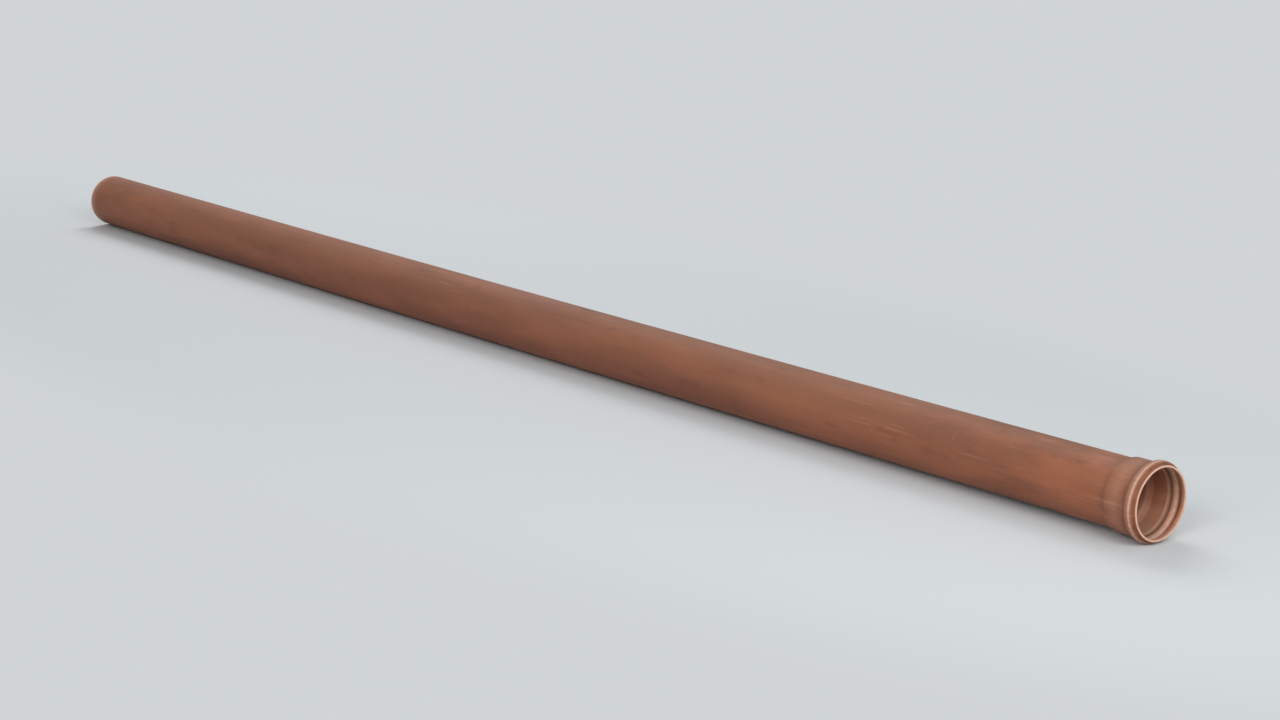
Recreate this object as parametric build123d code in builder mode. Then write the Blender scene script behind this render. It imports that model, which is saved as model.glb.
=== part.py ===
from build123d import *
import os
from math import radians, sqrt, tan

# Drain pipe of rigid orange-brown plastic, lying on its side, made as one piece.
# One end is a plain spigot, sawn square, with a lead-in chamfer round its outside.
# The other end is a socket, opened out from the hot pipe itself, with a groove
# behind its mouth that takes a sealing ring and shows outside as a raised bead.
# The axis runs along X with the socket's mouth at +X, the length is centred on
# X = 0, and the bead touches Z = 0. Sizes are in millimetres and degrees.

# Straight pipe
pipe_diameter = 110.0  # outside, which is the nominal size
pipe_wall = 3.2
laying_length = 3000.0  # from the spigot's face to the stop inside the socket

# Spigot
lead_in_angle = 15.0  # between the chamfer and the axis
lead_in_land = 1.2  # thickness of wall that the chamfer leaves at the sawn face

# Socket
socket_clearance = 0.4  # all round the spigot that it takes
socket_depth = 60.0  # from the mouth to the stop
stop_angle = 20.0  # slope of the cone that narrows to the bore and stops the spigot

# Sealing groove
lip_length = 9.0  # from the mouth to the groove
groove_depth = 5.3
groove_floor = 5.2  # flat length at the groove's full depth
front_flank_angle = 70.0  # slope of the groove's side next to the mouth
back_flank_angle = 28.0

# Bends of the wall, each measured on its tight side, and the broken edges of the sawn faces
crest_bend = 3.0
lip_bend = 1.5
barrel_bend = 8.0
stop_bend = 8.0
edge_break = 0.5

# A bend's tangents take at most this share of the straight run beside it
tangent_share = 0.45


def stretched_radius(inner_radius):
    # The ring of plastic keeps its area as the pipe is opened out, so the wall thins.
    return sqrt(inner_radius**2 + pipe_radius**2 - bore_radius**2)


def flank_length(rise, angle):
    return rise / tan(radians(angle))


def corner_shift(wall, angle):
    # Along the axis, from the inside corner of a bent wall to its outside corner.
    return wall * tan(radians(angle / 2))


def bend_radius(radius, angle, run):
    return min(radius, tangent_share * run / tan(radians(angle / 2)))


# Radii of the two sides of the wall in the pipe, the socket and the groove
pipe_radius = pipe_diameter / 2
bore_radius = pipe_radius - pipe_wall
socket_radius = pipe_radius + socket_clearance
groove_radius = socket_radius + groove_depth
barrel_radius = stretched_radius(socket_radius)
bead_radius = stretched_radius(groove_radius)
barrel_wall = barrel_radius - socket_radius
bead_wall = bead_radius - groove_radius

# Corners of the inside along the axis
overall_length = laying_length + socket_depth
mouth_x = overall_length / 2
spigot_x = mouth_x - overall_length
groove_front_x = mouth_x - lip_length
floor_front_x = groove_front_x - flank_length(groove_depth, front_flank_angle)
floor_back_x = floor_front_x - groove_floor
groove_back_x = floor_back_x - flank_length(groove_depth, back_flank_angle)
stop_x = mouth_x - socket_depth
bore_end_x = stop_x - flank_length(socket_radius - bore_radius, stop_angle)

# Corners of the outside, which follows the inside a wall's thickness away
bead_front_x = groove_front_x + corner_shift(barrel_wall, front_flank_angle)
crest_front_x = floor_front_x + corner_shift(bead_wall, front_flank_angle)
crest_back_x = floor_back_x - corner_shift(bead_wall, back_flank_angle)
bead_back_x = groove_back_x - corner_shift(barrel_wall, back_flank_angle)
flare_x = stop_x - corner_shift(barrel_wall, stop_angle)
pipe_end_x = bore_end_x - corner_shift(pipe_wall, stop_angle)
lead_in_x = spigot_x + flank_length(pipe_wall - lead_in_land, lead_in_angle)

# Each outline starts at the spigot's sawn face and ends at the socket's mouth.
outside_corners = [
    (spigot_x, bore_radius + lead_in_land),
    (lead_in_x, pipe_radius),
    (pipe_end_x, pipe_radius),
    (flare_x, barrel_radius),
    (bead_back_x, barrel_radius),
    (crest_back_x, bead_radius),
    (crest_front_x, bead_radius),
    (bead_front_x, barrel_radius),
    (mouth_x, barrel_radius),
]
inside_corners = [
    (spigot_x, bore_radius),
    (bore_end_x, bore_radius),
    (stop_x, socket_radius),
    (groove_back_x, socket_radius),
    (floor_back_x, groove_radius),
    (floor_front_x, groove_radius),
    (groove_front_x, socket_radius),
    (mouth_x, socket_radius),
]

# The bends in the same order. The loose side of a bend is a wall's thickness larger.
stop_run = stop_x - bore_end_x
outside_bends = [
    0,
    bend_radius(stop_bend, stop_angle, stop_run),
    bend_radius(stop_bend + barrel_wall, stop_angle, stop_run),
    bend_radius(barrel_bend, back_flank_angle, groove_depth),
    bend_radius(crest_bend + bead_wall, back_flank_angle, groove_floor),
    bend_radius(crest_bend + bead_wall, front_flank_angle, groove_depth),
    bend_radius(lip_bend, front_flank_angle, groove_depth),
]
inside_bends = [
    bend_radius(stop_bend + pipe_wall, stop_angle, stop_run),
    bend_radius(stop_bend, stop_angle, stop_run),
    bend_radius(barrel_bend + barrel_wall, back_flank_angle, groove_depth),
    bend_radius(crest_bend, back_flank_angle, groove_floor),
    bend_radius(crest_bend, front_flank_angle, groove_depth),
    bend_radius(lip_bend + barrel_wall, front_flank_angle, groove_depth),
]

# The half section of the wall stands above the axis and is turned once round it.
section_plane = Plane(origin=(0, 0, bead_radius), x_dir=(1, 0, 0), z_dir=(0, -1, 0))
pipe_axis = Axis((0, 0, bead_radius), (1, 0, 0))

with BuildPart() as drain_pipe:
    with BuildSketch(section_plane):
        with BuildLine():
            outside = FilletPolyline(*outside_corners, radius=outside_bends)
            inside = FilletPolyline(*inside_corners, radius=inside_bends)
            Line(outside @ 0, inside @ 0)
            Line(outside @ 1, inside @ 1)
        make_face()
    revolve(axis=pipe_axis)

    # Both edges of the mouth and the spigot's inner edge are broken after sawing.
    sawn_faces = drain_pipe.faces().filter_by(GeomType.PLANE).sort_by(Axis.X)
    spigot_inner_edge = sawn_faces[0].edges().sort_by(SortBy.RADIUS)[0]
    mouth_edges = sawn_faces[-1].edges()
    chamfer([spigot_inner_edge, *mouth_edges], length=edge_break)

drain_pipe.part.label = "drain_pipe"

os.makedirs("parts", exist_ok=True)
export_step(drain_pipe.part, "parts/drain_pipe.step")
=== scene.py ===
import bpy
import numpy as np
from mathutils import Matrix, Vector


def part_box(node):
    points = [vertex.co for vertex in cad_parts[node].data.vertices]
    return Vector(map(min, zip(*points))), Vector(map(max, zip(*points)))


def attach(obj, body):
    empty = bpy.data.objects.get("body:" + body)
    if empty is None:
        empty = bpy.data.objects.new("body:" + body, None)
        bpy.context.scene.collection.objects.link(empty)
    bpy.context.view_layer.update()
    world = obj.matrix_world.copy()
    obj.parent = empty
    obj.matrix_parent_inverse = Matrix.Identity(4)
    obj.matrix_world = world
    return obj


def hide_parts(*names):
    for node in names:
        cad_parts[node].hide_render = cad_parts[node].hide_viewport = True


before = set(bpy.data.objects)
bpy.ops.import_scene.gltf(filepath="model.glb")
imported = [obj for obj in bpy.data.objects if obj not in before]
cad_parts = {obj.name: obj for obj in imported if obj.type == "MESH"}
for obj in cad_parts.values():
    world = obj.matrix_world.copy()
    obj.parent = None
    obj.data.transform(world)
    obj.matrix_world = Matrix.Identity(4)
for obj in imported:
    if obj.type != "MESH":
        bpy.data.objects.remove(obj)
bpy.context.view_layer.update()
nodeLow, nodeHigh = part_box("drain_pipe")
axisHeight = (nodeLow.z + nodeHigh.z) / 2
mm = 0.001  # one millimetre in metres: real sizes below are in millimetres, meshes in metres
print("frame loaded")


# The pipe, in millimetres and degrees where nothing else is said
pipeSettings = {
    # Its form, as the solid has it
    "diameter": 110.0,
    "wall": 3.2,
    "socketClearance": 0.4,
    "socketDepth": 60.0,
    "stopAngle": 20.0,
    "leadInAngle": 15.0,
    "leadInLand": 1.2,
    "lipLength": 9.0,
    "grooveDepth": 5.3,
    "grooveFloor": 5.2,
    "frontFlankAngle": 70.0,
    "backFlankAngle": 28.0,
    "crestBend": 3.0,
    "lipBend": 1.5,
    "barrelBend": 8.0,
    "stopBend": 8.0,
    "edgeBreak": 0.5,
    "tangentShare": 0.45,  # a bend's tangents take at most this share of the run beside it
    # What a real length has besides: it bends, and nothing on it is quite round, straight or square
    "sag": 3.6,  # how far its own weight bends it between the bead and the spigot
    "ovality": 0.22,  # a stored length goes slightly oval, away from the formed socket
    "ovalTurn": 0.7,  # in radians
    "waviness": 0.14,  # slow unevenness that the extrusion leaves in the wall
    "waveLengths": (110.0, 900.0),
    "waveCount": 9,
    "waveTurns": 4,  # a wave turns fewer times than this round the pipe
    "formedReach": 250.0,  # the wall runs true this far behind the socket
    "sawWander": 0.25,  # how far the sawn faces are out of flat
    "sawWaves": 5,
    "sawReach": 1.2,  # from a sawn face to where the wall is true again
    "seed": 11,
    # Its mesh
    "segmentsRound": 144,
    "pipeStep": 12.0,  # between stations along the straight wall's outside
    "boreStep": 24.0,
    "socketStep": 1.6,
    "socketReach": 20.0,  # the socket's short steps start this far behind it
    "leastStep": 0.6,
    "arcPoints": 7,
    "facePoints": 5,
    "chamferPoints": 6,
    "sharpAngle": 13.0,  # bends turn less than this from point to point, sawn edges more
    # Where its wall is worn or dirty, or given painted highlight and shade. A band goes round the pipe:
    # the place that it follows, how far from it towards the mouth, the width over which it fades to both
    # sides, and its share.
    # pale bands: rub, and at the bead's crest partly a painted highlight
    "outsideRubAndHighlightBands": [
        ("crestFront", 0.0, 1.9, 0.95),
        ("crestBack", 0.0, 2.0, 0.25),
        ("pipeEnd", 27.0, 12.0, 0.16),
    ],
    # pale bands inside: rubbed edges, partly a painted highlight on the groove's back flank and shoulder
    "insideRubAndHighlightBands": [
        ("crestBack", -2.6, 2.2, 0.75),
        ("grooveBack", -5.8, 1.6, 0.85),
        ("boreEnd", 0.0, 3.0, 0.3),
    ],
    # dark bands at the feet of the lip, the bead and the flare: painted shade in these creases, partly dirt
    "outsideGrimeAndShadeBands": [
        ("lipFoot", 0.0, 1.3, 0.9),
        ("beadFoot", 1.5, 4.5, 0.6),
        ("pipeEnd", 2.0, 5.0, 0.18),
    ],
    # dark bands in the groove's corners inside: painted shade in the recess, partly dirt
    "insideGrimeAndShadeBands": [
        ("crestFront", -0.5, 2.4, 0.8),
        ("grooveBack", 0.8, 1.9, 1.0),
    ],
    # Wear at an end reaches from where it starts to where it is in full, measured from the mouth
    # or the spigot, with its share.
    "outsideMouthRub": (2.2, 0.4, 1.0),
    "insideMouthRub": (4.5, 0.8, 0.95),
    "spigotRub": (26.0, 8.0, 0.5),
    "mouthHandled": (520.0, 90.0, 1.0),
    "spigotHandled": (420.0, 60.0, 1.0),
    # Dust settles between two heights of the surface's direction, 1 being up.
    "outsideDust": (-0.6, 0.9),
    "insideDust": (0.3, 1.0),
}

# Stretches of the closed section, numbered as the pipe's material slots are
outsideZone, mouthZone, insideZone, spigotZone, chamferZone = range(5)


def bentLine(corners, bends, arcPoints):
    # Straight runs joined by tangent arcs. At a turn of angle a, an arc of radius R starts
    # R tan(a / 2) before the corner, and its points are centre + R (cos t, sin t).
    corners = np.array(corners)
    points = [corners[0]]
    for before, corner, after, bend in zip(corners[:-2], corners[1:-1], corners[2:], bends):
        inward = (corner - before) / np.linalg.norm(corner - before)
        outward = (after - corner) / np.linalg.norm(after - corner)
        turn = np.arctan2(inward[0] * outward[1] - inward[1] * outward[0], inward @ outward)
        start = corner - inward * bend * np.tan(abs(turn) / 2)
        towardCentre = np.array([-inward[1], inward[0]]) * np.sign(turn)
        alongArc = np.array([-towardCentre[1], towardCentre[0]])
        t = np.linspace(0, turn, arcPoints)[:, None]
        points.extend(start + bend * (towardCentre - towardCentre * np.cos(t) - alongArc * np.sin(t)))
    points.append(corners[-1])
    return np.array(points)


def withStations(line, borders, steps, leastStep):
    # Adds points along a line so that neighbours are at most about a step apart, which differs
    # between borders in x. A point at arc length s is read off the line by interpolation.
    s = np.concatenate([[0], np.cumsum(np.hypot(*np.diff(line, axis=0).T))])
    added = []
    for low, high, step in zip(borders[:-1], borders[1:], steps):
        even = np.arange(0, s[-1], step)
        x = np.interp(even, s, line[:, 0])
        added.append(even[(x > low) & (x < high)])
    added = np.concatenate(added)
    room = np.abs(added[:, None] - s[None, :]).min(axis=1)
    stations = np.sort(np.concatenate([s, added[room > leastStep]]))
    return np.stack([np.interp(stations, s, line[:, k]) for k in (0, 1)], axis=1)


def wallSection(pipe):
    # The closed section of the wall as points (x, r) in millimetres with the axis at r = 0, the
    # zone of the stretch after each point, and the places that the finish needs by name.
    depth, wall, edge = pipe["grooveDepth"], pipe["wall"], pipe["edgeBreak"]
    front, back, stop = pipe["frontFlankAngle"], pipe["backFlankAngle"], pipe["stopAngle"]
    pipeRadius = pipe["diameter"] / 2
    boreRadius = pipeRadius - wall
    landRadius = boreRadius + pipe["leadInLand"]
    socketRadius = pipeRadius + pipe["socketClearance"]
    grooveRadius = socketRadius + depth
    ringArea = pipeRadius**2 - boreRadius**2  # kept as the socket is stretched, so its wall thins
    barrelRadius = np.sqrt(socketRadius**2 + ringArea)
    beadRadius = np.sqrt(grooveRadius**2 + ringArea)
    barrelWall = barrelRadius - socketRadius
    beadWall = beadRadius - grooveRadius

    def shift(thickness, angle):
        # Along the axis, from the inside corner of a bent wall to its outside corner
        return thickness * np.tan(np.radians(angle / 2))

    def run(rise, angle):
        return rise / np.tan(np.radians(angle))

    def bend(radius, angle, beside):
        return min(radius, pipe["tangentShare"] * run(beside, angle / 2))

    mouth = nodeHigh.x / mm
    spigot = nodeLow.x / mm
    grooveFront = mouth - pipe["lipLength"]
    floorFront = grooveFront - run(depth, front)
    floorBack = floorFront - pipe["grooveFloor"]
    grooveBack = floorBack - run(depth, back)
    stopX = mouth - pipe["socketDepth"]
    boreEnd = stopX - run(socketRadius - boreRadius, stop)
    leadIn = spigot + run(wall - pipe["leadInLand"], pipe["leadInAngle"])
    pipeEnd = boreEnd - shift(wall, stop)
    beadFoot = grooveBack - shift(barrelWall, back)
    lipFoot = grooveFront + shift(barrelWall, front)

    outside = bentLine(
        [
            (leadIn, pipeRadius),
            (pipeEnd, pipeRadius),
            (stopX - shift(barrelWall, stop), barrelRadius),
            (beadFoot, barrelRadius),
            (floorBack - shift(beadWall, back), beadRadius),
            (floorFront + shift(beadWall, front), beadRadius),
            (lipFoot, barrelRadius),
            (mouth - edge, barrelRadius),
        ],
        [
            bend(pipe["stopBend"], stop, stopX - boreEnd),
            bend(pipe["stopBend"] + barrelWall, stop, stopX - boreEnd),
            bend(pipe["barrelBend"], back, depth),
            bend(pipe["crestBend"] + beadWall, back, pipe["grooveFloor"]),
            bend(pipe["crestBend"] + beadWall, front, depth),
            bend(pipe["lipBend"], front, depth),
        ],
        pipe["arcPoints"],
    )
    inside = bentLine(
        [
            (mouth - edge, socketRadius),
            (grooveFront, socketRadius),
            (floorFront, grooveRadius),
            (floorBack, grooveRadius),
            (grooveBack, socketRadius),
            (stopX, socketRadius),
            (boreEnd, boreRadius),
            (spigot + edge, boreRadius),
        ],
        [
            bend(pipe["lipBend"] + barrelWall, front, depth),
            bend(pipe["crestBend"], front, depth),
            bend(pipe["crestBend"], back, pipe["grooveFloor"]),
            bend(pipe["barrelBend"] + barrelWall, back, depth),
            bend(pipe["stopBend"], stop, stopX - boreEnd),
            bend(pipe["stopBend"] + wall, stop, stopX - boreEnd),
        ],
        pipe["arcPoints"],
    )
    borders = [spigot, boreEnd - pipe["socketReach"], mouth]
    outside = withStations(outside, borders, [pipe["pipeStep"], pipe["socketStep"]], pipe["leastStep"])
    inside = withStations(inside, borders, [pipe["boreStep"], pipe["socketStep"]], pipe["leastStep"])
    mouthFace = np.linspace((mouth, barrelRadius - edge), (mouth, socketRadius + edge), pipe["facePoints"])
    spigotFace = np.linspace((spigot, boreRadius + edge), (spigot, landRadius), pipe["facePoints"])
    chamferFace = np.linspace((spigot, landRadius), (leadIn, pipeRadius), pipe["chamferPoints"])[1:-1]
    parts = [outside, mouthFace, inside, spigotFace, chamferFace]
    zones = np.repeat(range(len(parts)), [len(part) for part in parts])
    lasts = np.cumsum([len(part) for part in parts]) - 1
    zones[lasts] = [mouthZone, mouthZone, spigotZone, chamferZone, chamferZone]
    places = {
        "mouth": mouth,
        "spigot": spigot,
        "pipeEnd": pipeEnd,
        "boreEnd": boreEnd,
        "beadFoot": beadFoot,
        "crestBack": floorBack,
        "crestFront": floorFront,
        "lipFoot": lipFoot,
        "grooveBack": grooveBack,
    }
    return np.concatenate(parts), zones, places


def slowWaves(x, angle, pipe, rng):
    # Sum of w cos(2 pi x / w + n angle + phase) over wavelengths w, divided by the sum of the w.
    wavelengths = np.geomspace(*pipe["waveLengths"], pipe["waveCount"])
    turns = rng.integers(0, pipe["waveTurns"], len(wavelengths))
    phases = rng.uniform(0, 2 * np.pi, len(wavelengths))
    total = np.zeros(np.broadcast(x, angle).shape)
    for wavelength, turn, phase in zip(wavelengths, turns, phases):
        total += wavelength * np.cos(2 * np.pi * x / wavelength + turn * angle + phase)
    return total / wavelengths.sum()


def roundWaves(angle, rng, count):
    # Sum of cos(n angle + phase) / sqrt(n) over whole numbers n, so that it closes on itself,
    # brought between 0 and 1.
    total = np.zeros(angle.shape)
    for n in range(1, count + 1):
        total += np.cos(n * angle + rng.uniform(0, 2 * np.pi)) / np.sqrt(n)
    return (total - total.min()) / np.ptp(total)


def smoothStep(low, high, value):
    # 0 at low, 1 at high, and t t (3 - 2 t) between them, where t is the share of the way.
    t = np.clip((value - low) / (high - low), 0, 1)
    return t * t * (3 - 2 * t)


def ridge(x, centre, width):
    # exp(-((x - centre) / width) squared): 1 at the centre, fading to both sides.
    return np.exp(-(((x - centre) / width) ** 2))


def makeMasks(x, angle, places, pipe, isInside):
    # Where dust settles, handling rubs or wipes, grime stays, and a highlight and shade are painted, each
    # from 0 to 1.
    fromMouth = places["mouth"] - x
    fromSpigot = x - places["spigot"]

    def bands(name):
        return sum(share * ridge(x, places[at] + shift, width) for at, shift, width, share in pipe[name])

    def reach(name, distance):
        start, full, share = pipe[name]
        return share * smoothStep(start, full, distance)

    outsideRubAndHighlight = bands("outsideRubAndHighlightBands") + reach("outsideMouthRub", fromMouth)
    insideRubAndHighlight = bands("insideRubAndHighlightBands") + reach("insideMouthRub", fromMouth)
    byHand = reach("mouthHandled", fromMouth) + reach("spigotHandled", fromSpigot)
    facing = np.sin(angle) + 0 * x
    masks = {
        "settled": (smoothStep(*pipe["insideDust"], -facing), smoothStep(*pipe["outsideDust"], facing)),
        # pale rubbed bands, partly a painted highlight at the bead's crest and inside the socket
        "rubbedAndHighlit": (insideRubAndHighlight, outsideRubAndHighlight + reach("spigotRub", fromSpigot)),
        # dark bands: painted shade in the creases and the groove's corners, partly dirt
        "grimeAndShade": (bands("insideGrimeAndShadeBands"), bands("outsideGrimeAndShadeBands")),
        "handled": (0 * x, byHand),
    }
    return {name: np.clip(np.where(isInside, *pair), 0, 1) for name, pair in masks.items()}


def closedGrid(rows, columns):
    # A face from each point of a grid to the next row and column, closed in both directions.
    index = np.arange(rows * columns).reshape(rows, columns)
    nextRow = np.roll(index, -1, axis=0)
    nextColumn = np.roll(index, -1, axis=1)
    across = np.roll(nextRow, -1, axis=1)
    return np.stack([index, nextColumn, across, nextRow], axis=-1).reshape(-1, 4)


def makePipe(pipe):
    # The wall's section turned about the axis: P = (x(u), r(u, v) cos v, height + r(u, v) sin v).
    # The section closes in u and the turn in v, so there is no seam and no open edge.
    rng = np.random.default_rng(pipe["seed"])
    section, zones, places = wallSection(pipe)
    angle = np.linspace(0, 2 * np.pi, pipe["segmentsRound"], endpoint=False)[None, :]
    x = section[:, :1] + 0 * angle
    r = section[:, 1:] + 0 * angle
    loose = 1 - smoothStep(places["boreEnd"] - pipe["formedReach"], places["boreEnd"], x)
    r = r + pipe["ovality"] * np.cos(2 * angle + pipe["ovalTurn"]) * loose
    r = r + pipe["waviness"] * slowWaves(x, angle, pipe, rng) * loose
    atMouth = smoothStep(pipe["sawReach"], 0, places["mouth"] - x)
    atSpigot = smoothStep(pipe["sawReach"], 0, x - places["spigot"])
    x = x - pipe["sawWander"] * atMouth * roundWaves(angle, rng, pipe["sawWaves"])
    x = x + pipe["sawWander"] * atSpigot * roundWaves(angle, rng, pipe["sawWaves"])
    crest = (places["crestFront"] + places["crestBack"]) / 2
    alongSpan = np.clip((x - places["spigot"]) / (crest - places["spigot"]), 0, 1)
    rise = r * np.sin(angle) - pipe["sag"] * np.sin(np.pi * alongSpan)
    points = np.stack([x * mm, r * mm * np.cos(angle), axisHeight + rise * mm], axis=-1)

    faces = closedGrid(*x.shape)
    mesh = bpy.data.meshes.new("drainPipe")
    mesh.from_pydata(points.reshape(-1, 3).tolist(), [], faces.tolist())
    faceZones = np.repeat(zones, pipe["segmentsRound"])
    mesh.polygons.foreach_set("material_index", faceZones.astype(np.int32))
    mesh.polygons.foreach_set("use_smooth", np.ones(len(faces), bool))
    mesh.set_sharp_from_angle(angle=np.radians(pipe["sharpAngle"]))

    isInside = (zones == insideZone)[:, None]
    for name, values in makeMasks(x, angle, places, pipe, isInside).items():
        mask = mesh.attributes.new(name, "FLOAT", "POINT")
        mask.data.foreach_set("value", values.astype(np.float32).ravel())
    # Where a point lies on a plain tube of the pipe's diameter, for patterns that run along the
    # wall or round it and shouldn't break where the socket widens.
    even = pipe["diameter"] / 2 * mm
    onTube = np.stack([x * mm, even * np.cos(angle) + 0 * x, even * np.sin(angle) + 0 * x], axis=-1)
    tubePlace = mesh.attributes.new("tubePlace", "FLOAT_VECTOR", "POINT")
    tubePlace.data.foreach_set("vector", onTube.astype(np.float32).ravel())
    mesh.validate()
    mesh.update()
    piece = bpy.data.objects.new("drainPipe", mesh)
    bpy.context.scene.collection.objects.link(piece)
    print("pipe made:", len(faces) * 2, "triangles")
    return piece


def linearColour(hexCode):
    # sRGB to linear: c / 12.92 below 0.04045, else ((c + 0.055) / 1.055) to the power 2.4.
    values = np.array([int(hexCode[i : i + 2], 16) for i in (1, 3, 5)]) / 255
    linear = np.where(values <= 0.04045, values / 12.92, ((values + 0.055) / 1.055) ** 2.4)
    return (*linear.tolist(), 1.0)


def addNode(tree, kind, inputs=None, **settings):
    # Adds a node. Settings are its properties. Each input is a value, or an output to link from.
    node = tree.nodes.new(kind)
    for name, value in settings.items():
        setattr(node, name, value)
    for key, value in (inputs or {}).items():
        if isinstance(value, bpy.types.NodeSocket):
            tree.links.new(value, node.inputs[key])
        else:
            node.inputs[key].default_value = value
    return node


def newMaterial(name):
    material = bpy.data.materials.new(name)
    material.use_nodes = True
    material.node_tree.nodes.clear()
    return material, material.node_tree


noiseRoughness = 0.55  # how much of each coarser layer of noise the next finer one has
seedShift = (1.0, 1.7, 2.3)  # how far a pattern moves along X, Y and Z for a seed of 1


def unevenness(tree, place, featureMm, low, high, detail, seed):
    # Noise whose features measure about featureMm along X, Y and Z: 0 below low, 1 above high.
    perMetre = [1 / (size * mm) for size in featureMm]
    offset = [seed * share for share in seedShift]
    scaled = addNode(tree, "ShaderNodeMapping", {"Vector": place, "Scale": perMetre, "Location": offset})
    settings = {"Vector": scaled.outputs[0], "Scale": 1.0, "Detail": detail, "Roughness": noiseRoughness}
    noise = addNode(tree, "ShaderNodeTexNoise", settings)
    limits = {"Value": noise.outputs["Fac"], "From Min": low, "From Max": high}
    return addNode(tree, "ShaderNodeMapRange", limits, interpolation_type="SMOOTHSTEP").outputs[0]


def makeSources(tree, look):
    # What a coat can lie by, each from 0 to 1: the look's patterns, and the masks in the mesh.
    place = addNode(tree, "ShaderNodeAttribute", attribute_name="tubePlace").outputs["Vector"]
    sources = {name: unevenness(tree, place, *settings) for name, settings in look["patterns"].items()}
    for name in look["masks"]:
        sources[name] = addNode(tree, "ShaderNodeAttribute", attribute_name=name).outputs["Fac"]
    return sources


def layCoats(tree, look, sources):
    # Lays a look's coats over its plastic, each on the last. A coat covers by its share times the
    # product of low + (high - low) s over the sources s that it lies by. Colour and roughness go
    # that far towards the coat's own, and the surface rises by as much of its height, if any.
    # A Mix node takes its two colours at sockets 6 and 7, and its two numbers at 2 and 3.
    colour, roughness, height = linearColour(look["plastic"]), look["roughness"], 0.0
    for coatColour, coatRoughness, coatHeight, cover, lies in look["coats"].values():
        for name, (low, high) in lies.items():
            inputs = {0: sources[name], 1: high - low, 2: low}
            counted = addNode(tree, "ShaderNodeMath", inputs, operation="MULTIPLY_ADD").outputs[0]
            cover = addNode(tree, "ShaderNodeMath", {0: cover, 1: counted}, operation="MULTIPLY").outputs[0]
        inputs = {"Factor": cover, 6: colour, 7: linearColour(coatColour)}
        colour = addNode(tree, "ShaderNodeMix", inputs, data_type="RGBA").outputs[2]
        inputs = {"Factor": cover, 2: roughness, 3: coatRoughness}
        roughness = addNode(tree, "ShaderNodeMix", inputs, data_type="FLOAT").outputs[0]
        if coatHeight:
            inputs = {0: cover, 1: coatHeight, 2: height}
            height = addNode(tree, "ShaderNodeMath", inputs, operation="MULTIPLY_ADD").outputs[0]
    relief = addNode(tree, "ShaderNodeBump", {"Height": height, "Strength": 1.0, "Distance": mm})
    inputs = {"Base Color": colour, "Roughness": roughness, "Normal": relief.outputs[0], "IOR": look["ior"]}
    shader = addNode(tree, "ShaderNodeBsdfPrincipled", {**inputs, "Specular IOR Level": look["mirror"]})
    addNode(tree, "ShaderNodeOutputMaterial", {"Surface": shader.outputs[0]})


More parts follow.
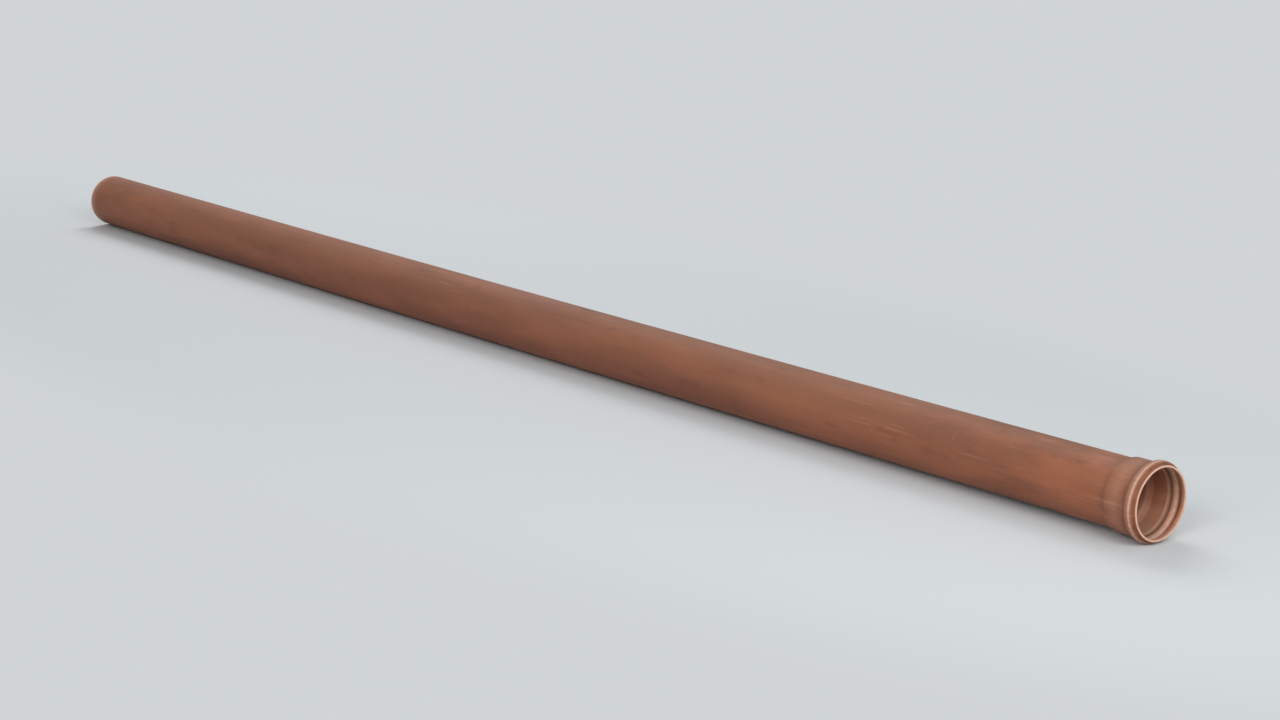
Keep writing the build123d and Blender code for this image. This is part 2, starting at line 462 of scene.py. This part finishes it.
# Rigid PVC, extruded and stored for months: an orange-brown plastic, satin where it is clean,
# under a thin brown dust film that lies thickest on top and is wiped near the ends.
# A pattern is its feature's size in millimetres along the pipe and twice across it, the window
# of noise that it keeps, its detail and its seed. A coat is its colour, its roughness, its
# height in millimetres, its share, and what it lies by with how that counts at 0 and at 1.
outsideLook = {
    "plastic": "#93573b",
    "roughness": 0.52,
    "ior": 1.53,
    "mirror": 0.28,  # 0.5 is clean plastic, and dust takes some of it
    "masks": ("settled", "rubbedAndHighlit", "grimeAndShade", "handled"),
    "patterns": {
        "tone": ((380, 60, 60), 0.34, 0.66, 4, 3.1),
        "dieLines": ((900, 4, 4), 0.35, 0.65, 3, 7.7),
        "fineLines": ((300, 1.2, 1.2), 0.3, 0.7, 2, 71.0),
        "filmPatches": ((340, 50, 50), 0.32, 0.68, 4, 12.4),
        "smears": ((600, 9, 9), 0.35, 0.65, 4, 21.9),
        "grains": ((1.3, 1.3, 1.3), 0.4, 0.7, 2, 27.3),  # real dust is finer, drawn so it shows
        "wipes": ((150, 46, 46), 0.46, 0.7, 4, 18.2),
        "smudges": ((80, 26, 26), 0.58, 0.76, 4, 61.0),
        "longScuffs": ((160, 1.4, 1.4), 0.64, 0.73, 2, 31.0),
        "longPlaces": ((300, 60, 60), 0.47, 0.62, 2, 5.5),
        "girthScuffs": ((2, 70, 70), 0.66, 0.75, 2, 44.0),
        "girthPlaces": ((120, 60, 60), 0.55, 0.68, 2, 15.5),
        "specks": ((6, 5, 5), 0.74, 0.78, 2, 52.0),
        "rubAndHighlightMarks": ((7, 3.5, 3.5), 0.25, 0.7, 4, 9.0),
        # breaks up the painted shade and grime
        "grimeAndShadePatches": ((30, 18, 18), 0.38, 0.7, 4, 37.0),
    },
    "coats": {
        "darkerRuns": ("#7a4630", 0.52, 0.0, 1.0, {"tone": (0, 1)}),
        "dieLines": ("#7a4630", 0.52, 0.1, 0.3, {"dieLines": (0, 1)}),
        "fineLines": ("#7a4630", 0.56, 0.1, 0.22, {"fineLines": (0, 1)}),
        "evenDust": ("#8a6550", 1.0, 0.0, 0.42, {"settled": (0, 1), "filmPatches": (0.55, 1)}),
        "grainyDust": (
            "#97755d", 1.0, 0.0, 0.18,
            {"settled": (0, 1), "smears": (0.2, 1), "grains": (0, 1)},
        ),
        "wipedClean": ("#a25f40", 0.44, 0.0, 0.55, {"wipes": (0, 1), "handled": (0.3, 1)}),
        "smudges": ("#40281d", 0.7, 0.0, 0.28, {"smudges": (0, 1)}),
        "longScuffs": ("#d3ab97", 0.7, -0.08, 0.35, {"longScuffs": (0, 1), "longPlaces": (0, 1)}),
        "girthScuffs": ("#d3ab97", 0.7, -0.08, 0.35, {"girthScuffs": (0, 1), "girthPlaces": (0, 1)}),
        "specks": ("#d3ab97", 0.7, 0.0, 0.5, {"specks": (0, 1), "longPlaces": (0, 1)}),
        # pale rub, partly a painted highlight on the bead's crest
        "rubbedPaleAndHighlit": ("#d3ab97", 0.65, 0.0, 0.95, {"rubbedAndHighlit": (0, 1), "rubAndHighlightMarks": (0.6, 1)}),
        # painted shade at the feet of the lip, bead and flare, partly dirt
        "grimeAndShade": ("#40281d", 0.8, 0.0, 0.7, {"grimeAndShade": (0, 1), "grimeAndShadePatches": (0.15, 1)}),
    },
}

# The inside of the same pipe: cooled against air, so smoother, with dust all round that lies thickest
# along its bottom, pale rubbed edges in the socket that are partly a painted highlight, and painted shade
# with some grime in the groove's corners. Its plastic is drawn lighter than the outside's: painted light.
boreLook = {
    # lighter than the outside's plastic: painted light, standing in for light inside the bore
    "plastic": "#ab6f54",
    "roughness": 0.48,
    "ior": 1.53,
    "mirror": 0.4,
    "masks": ("settled", "rubbedAndHighlit", "grimeAndShade"),
    "patterns": {
        "tone": ((300, 60, 60), 0.3, 0.7, 3, 6.6),
        "dieLines": ((700, 6, 6), 0.35, 0.65, 3, 1.4),
        "filmPatches": ((90, 25, 25), 0.3, 0.65, 4, 17.0),
        "grains": ((1.5, 1.5, 1.5), 0.4, 0.7, 2, 33.1),
        "rubAndHighlightMarks": ((4, 6, 6), 0.3, 0.6, 3, 29.0),
    },
    "coats": {
        "darkerRuns": ("#965f47", 0.48, 0.0, 0.8, {"tone": (0, 1)}),
        "dieLines": ("#965f47", 0.48, 0.1, 0.2, {"dieLines": (0, 1)}),
        "dust": (
            "#b0917a", 0.9, 0.0, 0.7,
            {"settled": (0.3, 1), "filmPatches": (0.3, 1), "grains": (0.7, 1)},
        ),
        # pale rubbed edges, partly a painted highlight on the groove's back flank and shoulder
        "rubbedPaleAndHighlit": ("#d6ae99", 0.6, 0.0, 0.95, {"rubbedAndHighlit": (0, 1), "rubAndHighlightMarks": (0.5, 1)}),
        # painted shade in the groove's corners, partly dirt
        "grimeAndShade": ("#3a2318", 0.8, 0.0, 0.85, {"grimeAndShade": (0, 1)}),
    },
}

# The same plastic where a saw cut it or a cutter turned the chamfer: torn pale, matt, with the
# tool's fine rings round the axis. Real rings are a few tenths of a millimetre apart and are
# drawn coarser, so they show.
sawnLook = {
    "plastic": "#e8d0c2",
    "roughness": 0.7,
    "ior": 1.53,
    "mirror": 0.3,
    "masks": (),
    "ringSpacing": 0.7,
    "ringTurns": 0.31416,  # Blender's wave repeats each pi / 10 of its scaled place
    "ringDistortion": 1.2,
    "ringDetail": 2.0,
    "patterns": {
        "mottle": ((4, 5, 5), 0.3, 0.7, 3, 2.0),
        "bruises": ((8, 14, 14), 0.55, 0.7, 2, 8.0),
    },
    "coats": {
        "rings": ("#c9977f", 0.7, -0.05, 0.3, {"rings": (0, 1)}),
        "mottle": ("#c9977f", 0.7, 0.0, 0.35, {"mottle": (0, 1)}),
        "bruises": ("#c9977f", 0.6, 0.0, 0.4, {"bruises": (0, 1)}),
    },
}

# The mouth is handled and dusted more than the spigot, so its sawn face is browner.
mouthLook = {**sawnLook, "plastic": "#dcb29b"}


def makeExtruded(look, name):
    material, tree = newMaterial(name)
    layCoats(tree, look, makeSources(tree, look))
    return material


def makeSawn(look, name, wave):
    material, tree = newMaterial(name)
    sources = makeSources(tree, look)
    place = addNode(tree, "ShaderNodeTexCoord").outputs["Object"]
    centred = addNode(tree, "ShaderNodeMapping", {"Vector": place, "Location": (0, 0, -axisHeight)})
    inputs = {
        "Vector": centred.outputs[0],
        "Scale": look["ringTurns"] / (look["ringSpacing"] * mm),
        "Distortion": look["ringDistortion"],
        "Detail": look["ringDetail"],
    }
    sources["rings"] = addNode(tree, "ShaderNodeTexWave", inputs, **wave).outputs["Fac"]
    layCoats(tree, look, sources)
    return material


roundAxis = {"wave_type": "RINGS", "rings_direction": "X"}
alongAxis = {"wave_type": "BANDS", "bands_direction": "X"}
drainPipe = makePipe(pipeSettings)
drainPipe.data.materials.append(makeExtruded(outsideLook, "extrudedRigidPvcOutside"))
drainPipe.data.materials.append(makeSawn(mouthLook, "sawnRigidPvcMouth", roundAxis))
drainPipe.data.materials.append(makeExtruded(boreLook, "extrudedRigidPvcBore"))
drainPipe.data.materials.append(makeSawn(sawnLook, "sawnRigidPvcSpigot", roundAxis))
drainPipe.data.materials.append(makeSawn(sawnLook, "turnedRigidPvcChamfer", alongAxis))
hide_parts("drain_pipe")
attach(drainPipe, "root")
print("pipe finished in", len(drainPipe.data.materials), "surfaces")


# A level of pale grey all round, in metres. The floor is lit and shadowed near the pipe, and
# fades to the backdrop's even colour away from it, for rays that show it to the camera.
stageSettings = {
    "halfSize": 40.0,
    "floorColour": "#ced2d4",
    "floorRoughness": 0.85,
    "backdropColour": "#d0d4d6",
    "litReach": (1.62, 0.6),  # half length and half width of the ellipse that is lit
    "fadeReach": 1.6,  # how many times that size the fade ends at
    "worldColour": "#e3e6e8",
    "worldStrength": 0.4,
    "sink": 0.0002,  # how far under the pipe's lowest points the floor lies
}


def seenRays(tree):
    # 1 for rays that show the background to the camera, straight or in gloss and glass, else 0.
    rays = addNode(tree, "ShaderNodeLightPath").outputs
    seen = rays["Is Camera Ray"]
    for name in ("Is Glossy Ray", "Is Transmission Ray"):
        seen = addNode(tree, "ShaderNodeMath", {0: seen, 1: rays[name]}, operation="MAXIMUM").outputs[0]
    return seen


def makeFloor(settings, pipe):
    # z = slope (crest - x), a plane that meets the pipe at its two resting points: under the
    # bead, and under the spigot's end, which is a bead's height above it.
    crestX = nodeHigh.x - (pipe["lipLength"] + pipe["grooveFloor"]) * mm
    spigotRise = axisHeight - pipe["diameter"] / 2 * mm
    slope = spigotRise / (crestX - nodeLow.x)
    edge = np.array([-settings["halfSize"], settings["halfSize"]])
    x, y = np.meshgrid(edge, edge, indexing="ij")
    points = np.stack([x, y, (crestX - x) * slope - settings["sink"]], axis=-1).reshape(-1, 3)
    mesh = bpy.data.meshes.new("studioFloor")
    mesh.from_pydata(points.tolist(), [], [(0, 2, 3, 1)])
    floor = bpy.data.objects.new("studioFloor", mesh)
    bpy.context.scene.collection.objects.link(floor)
    material, tree = newMaterial("paleStudioFloor")
    inputs = {"Base Color": linearColour(settings["floorColour"]), "Roughness": settings["floorRoughness"]}
    lit = addNode(tree, "ShaderNodeBsdfPrincipled", inputs)
    even = addNode(tree, "ShaderNodeEmission", {"Color": linearColour(settings["backdropColour"])})
    place = addNode(tree, "ShaderNodeTexCoord").outputs["Object"]
    perReach = (1 / settings["litReach"][0], 1 / settings["litReach"][1], 0)
    reach = addNode(tree, "ShaderNodeVectorMath", {0: place, 1: perReach}, operation="MULTIPLY")
    away = addNode(tree, "ShaderNodeVectorMath", {0: reach.outputs[0]}, operation="LENGTH").outputs["Value"]
    limits = {"Value": away, "From Min": 1.0, "From Max": settings["fadeReach"], "To Max": seenRays(tree)}
    share = addNode(tree, "ShaderNodeMapRange", limits, interpolation_type="SMOOTHSTEP").outputs[0]
    mixed = addNode(tree, "ShaderNodeMixShader", {0: share, 1: lit.outputs[0], 2: even.outputs[0]})
    addNode(tree, "ShaderNodeOutputMaterial", {"Surface": mixed.outputs[0]})
    mesh.materials.append(material)


def makeWorld(settings):
    world = bpy.data.worlds.new("studioWorld")
    bpy.context.scene.world = world
    world.use_nodes = True
    tree = world.node_tree
    tree.nodes.clear()
    inputs = {"Color": linearColour(settings["worldColour"]), "Strength": settings["worldStrength"]}
    light = addNode(tree, "ShaderNodeBackground", inputs)
    backdrop = addNode(tree, "ShaderNodeBackground", {"Color": linearColour(settings["backdropColour"])})
    inputs = {0: seenRays(tree), 1: light.outputs[0], 2: backdrop.outputs[0]}
    mixed = addNode(tree, "ShaderNodeMixShader", inputs)
    addNode(tree, "ShaderNodeOutputWorld", {"Surface": mixed.outputs[0]})


# Soft lamps, in metres and watts. The key stands in front of the socket, on the camera's side,
# so that light reaches into the mouth and falls off towards the spigot.
softLamps = {
    "keyLamp": {"place": (4.9, -1.4, 2.8), "facing": (0.9, 0.0, 0.0), "size": (3.0, 2.2), "power": 142},
    "sideLamp": {"place": (2.6, -4.4, 2.8), "facing": (0.4, 0.0, 0.0), "size": (3.0, 2.0), "power": 104},
    "backLamp": {"place": (-2.4, 1.8, 3.6), "facing": (-1.1, 0.0, 0.0), "size": (3.6, 2.2), "power": 98},
}


def makeLamps(lamps):
    for name, settings in lamps.items():
        light = bpy.data.lights.new(name, "AREA")
        light.shape = "RECTANGLE"
        light.size, light.size_y = settings["size"]
        light.energy = settings["power"]
        lamp = bpy.data.objects.new(name, light)
        lamp.location = settings["place"]
        direction = Vector(settings["facing"]) - Vector(settings["place"])
        lamp.rotation_euler = direction.to_track_quat("-Z", "Y").to_euler()
        bpy.context.scene.collection.objects.link(lamp)


# The camera's place is the photograph's, measured in metres from the socket's mouth, with a
# longer lens turned to the pipe so that it fills the frame.
photoView = {
    "inFront": 2.485,
    "toTheSide": 3.125,
    "aboveAxis": 1.228,
    "lookAt": (0.34, 0.0, 0.05),
    "lens": 78.0,
    "farthest": 200.0,
}


def makeCamera(view):
    data = bpy.data.cameras.new("photoCamera")
    data.lens = view["lens"]
    data.clip_end = view["farthest"]
    camera = bpy.data.objects.new("photoCamera", data)
    camera.location = (nodeHigh.x + view["inFront"], -view["toTheSide"], axisHeight + view["aboveAxis"])
    direction = Vector(view["lookAt"]) - camera.location
    camera.rotation_euler = direction.to_track_quat("-Z", "Y").to_euler()
    bpy.context.scene.collection.objects.link(camera)
    bpy.context.scene.camera = camera


makeFloor(stageSettings, pipeSettings)
makeWorld(stageSettings)
makeLamps(softLamps)
makeCamera(photoView)
bpy.context.scene.view_settings.view_transform = "Standard"
print("stage, lamps and camera set")
